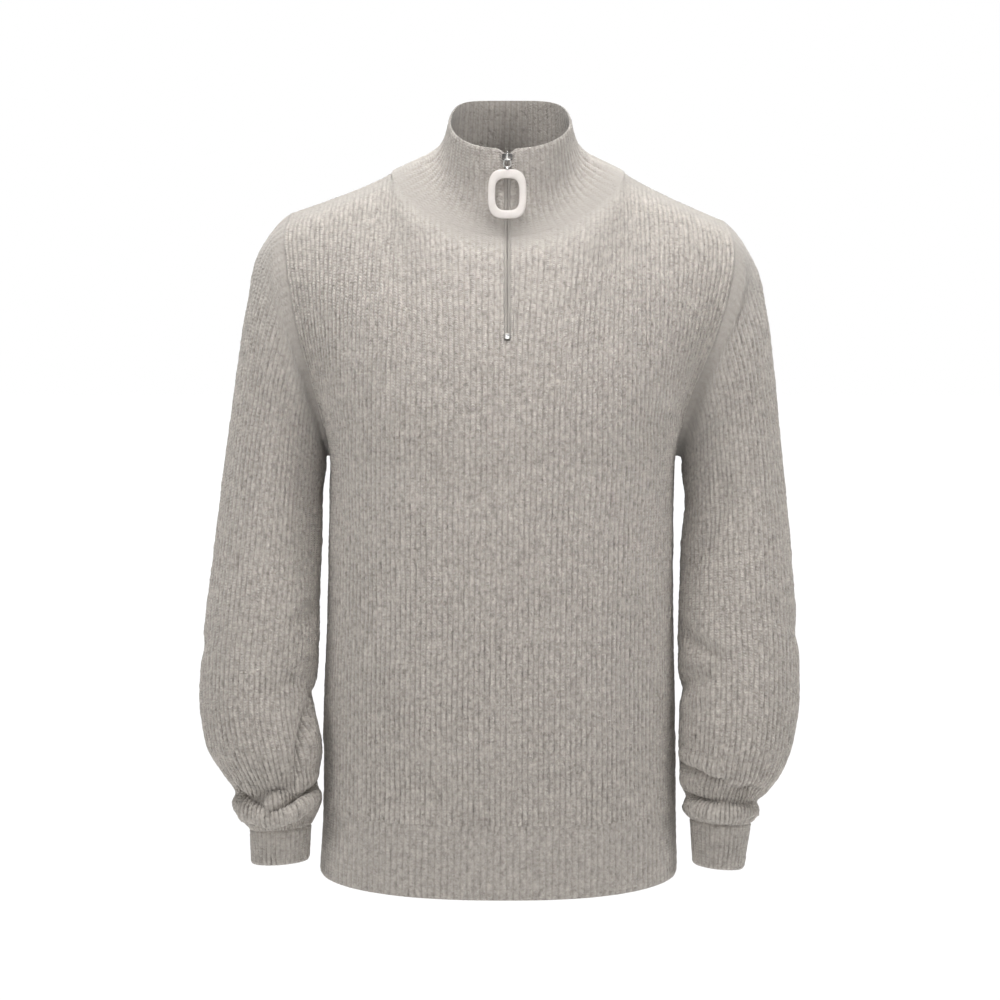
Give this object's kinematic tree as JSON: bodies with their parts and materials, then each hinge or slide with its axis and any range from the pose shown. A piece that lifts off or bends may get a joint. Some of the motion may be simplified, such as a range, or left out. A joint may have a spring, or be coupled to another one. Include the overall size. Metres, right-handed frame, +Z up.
{
  "type": "quarter-zip sweater",
  "caption": "Rib-knit pullover with a stand collar, a short front zip with a large ring pull, full sleeves gathered into cuffs and a ribbed hem band, filled out as when worn.",
  "frame": {"origin": "midway between the wearer's shoulders, level with where the collar stands on the shoulder seams", "axes": "+Z up, -Y the way the front faces, +X towards the wearer's left"},
  "size_m": [0.5917, 0.2517, 0.7812],
  "materials": {
    "knit": "matt ribbed knit of a mottled yarn",
    "band_knit": "matt ribbed knit of a mottled yarn",
    "tape": "woven tape with its row of teeth",
    "metal": "polished",
    "pull": "satin"
  },
  "bodies": {
    "sweater": {"front": "knit", "back": "knit", "sleeve_right": "knit", "sleeve_left": "knit", "cuff_right": "band_knit", "cuff_left": "band_knit", "collar": "band_knit", "hem_band": "band_knit", "zip_tape_right": "tape", "zip_tape_left": "tape", "zip_slider": "metal", "zip_stop": "metal"},
    "pull": {"zip_pull": "pull"}
  },
  "joints": [
    {"name": "pull_swing", "type": "hinge", "parent": "sweater", "child": "pull", "pos_m": [0, -0.0682, 0.04104], "axis": [-1, 0, 0], "range_deg": [0, 150]}
  ]
}
